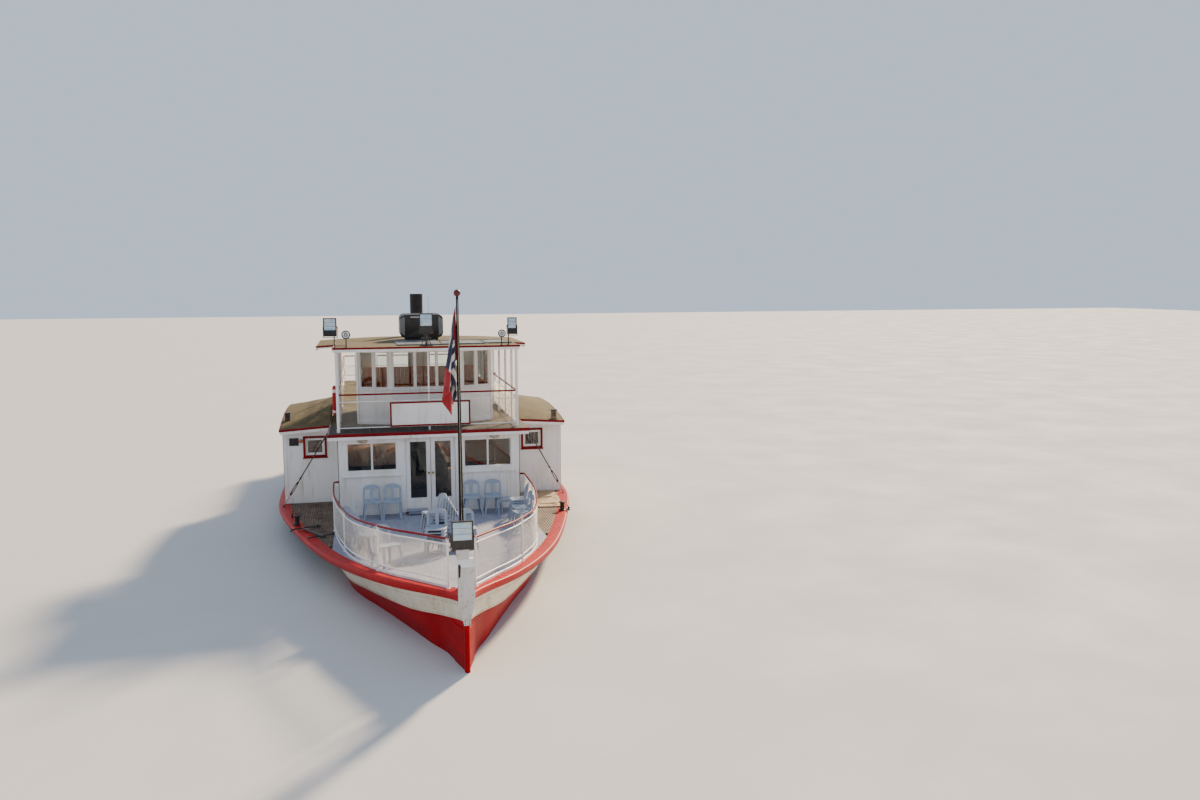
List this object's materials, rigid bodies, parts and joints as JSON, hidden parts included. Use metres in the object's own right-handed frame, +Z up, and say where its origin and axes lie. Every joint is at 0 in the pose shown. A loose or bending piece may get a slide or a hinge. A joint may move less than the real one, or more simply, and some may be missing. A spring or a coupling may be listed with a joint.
{
  "type": "side-wheel paddle steamer",
  "caption": "River passenger steamer afloat: side paddle wheels in boxes, saloon, upper cabin under a roof, funnel, railed foredeck and flagstaff.",
  "frame": {"origin": "on the centreline at the waterline, under the middle of the paddle shaft", "axes": "+X to port, +Y aft, +Z up; the bow points along -Y"},
  "size_m": [7.8434, 26.6053, 7.34],
  "materials": {
    "white_paint": "gloss enamel, weathered",
    "red_paint": "gloss enamel",
    "deck_paint": "flat deck paint",
    "deck_planks": "weathered planks",
    "roof_paint": "painted canvas",
    "black_paint": "black enamel",
    "varnished_wood": "varnished",
    "iron": "oiled iron",
    "galvanised_steel": "galvanised",
    "bunting": "woven bunting"
  },
  "bodies": {
    "boat": {"hull": "red_paint", "stem_post": "white_paint", "foredeck": "deck_paint", "saloon_deck": "deck_paint", "aft_deck": "deck_paint", "guard_port": "deck_planks", "guard_starboard": "deck_planks", "rub_rail_bow": "red_paint", "rub_rail_port": "red_paint", "rub_rail_starboard": "red_paint", "rub_rail_stern": "red_paint", "foredeck_rail_port": "white_paint", "foredeck_rail_starboard": "white_paint", "stern_rail": "white_paint", "house_front": "white_paint", "house_aft": "white_paint", "house_port": "white_paint", "house_starboard": "white_paint", "main_roof": "roof_paint", "box_roof_port": "roof_paint", "box_walls_port": "white_paint", "box_roof_starboard": "roof_paint", "box_walls_starboard": "white_paint", "engine": "iron", "funnel": "black_paint", "gallery_front": "white_paint", "gallery_port": "white_paint", "gallery_starboard": "white_paint", "upper_rail_port": "white_paint", "upper_rail_starboard": "white_paint", "cabin_front": "white_paint", "cabin_port": "white_paint", "cabin_starboard": "white_paint", "cabin_aft": "white_paint", "top_roof": "roof_paint", "cooler": "black_paint", "roof_lamps_starboard": "black_paint", "roof_lamps_port": "black_paint", "roof_lamp_centre": "black_paint", "bow_lamp": "black_paint", "name_board": "white_paint", "flagstaff": "black_paint", "flag": "bunting", "steering_pedestal": "varnished_wood", "stay_port": "galvanised_steel", "stay_starboard": "galvanised_steel", "lifebuoy": "red_paint", "bollard_port": "black_paint", "bollard_starboard": "black_paint", "ladder": "varnished_wood"},
    "paddles": {"paddle_shaft": "iron", "paddle_wheel_port": "red_paint", "paddle_wheel_starboard": "red_paint"},
    "rudder": {"rudder": "red_paint"},
    "steering_wheel": {"steering_wheel": "varnished_wood"},
    "saloon_door_port": {"saloon_door_port": "white_paint"},
    "saloon_door_starboard": {"saloon_door_starboard": "white_paint"},
    "aft_door": {"aft_door": "white_paint"},
    "cabin_door_port": {"cabin_door_port": "varnished_wood"},
    "cabin_door_starboard": {"cabin_door_starboard": "varnished_wood"}
  },
  "joints": [
    {"name": "paddle_turn", "type": "hinge", "parent": "boat", "child": "paddles", "pos_m": [0, 0, 1.12], "axis": [1, 0, 0], "continuous": true},
    {"name": "rudder_turn", "type": "hinge", "parent": "boat", "child": "rudder", "pos_m": [0, 12.07, 0], "axis": [0, 0, 1], "range_deg": [-35, 35]},
    {"name": "helm_turn", "type": "hinge", "parent": "boat", "child": "steering_wheel", "pos_m": [0, -2.45, 3.7], "axis": [0, 1, 0], "range_deg": [-350, 350]},
    {"name": "saloon_port_swing", "type": "hinge", "parent": "boat", "child": "saloon_door_port", "pos_m": [0.614, -4.348, 0.775], "axis": [0, 0, -1], "range_deg": [0, 90]},
    {"name": "saloon_starboard_swing", "type": "hinge", "parent": "boat", "child": "saloon_door_starboard", "pos_m": [-0.614, -4.348, 0.775], "axis": [0, 0, 1], "range_deg": [0, 90]},
    {"name": "aft_door_swing", "type": "hinge", "parent": "boat", "child": "aft_door", "pos_m": [-0.394, 8.592, 0.775], "axis": [0, 0, 1], "range_deg": [0, 90]},
    {"name": "cabin_port_swing", "type": "hinge", "parent": "boat", "child": "cabin_door_port", "pos_m": [1.708, -2.644, 2.865], "axis": [0, 0, 1], "range_deg": [0, 90]},
    {"name": "cabin_starboard_swing", "type": "hinge", "parent": "boat", "child": "cabin_door_starboard", "pos_m": [-1.708, -2.644, 2.865], "axis": [0, 0, -1], "range_deg": [0, 90]}
  ],
  "couplings": [
    {"joint": "helm_turn", "follows": "rudder_turn", "ratio": 10}
  ]
}
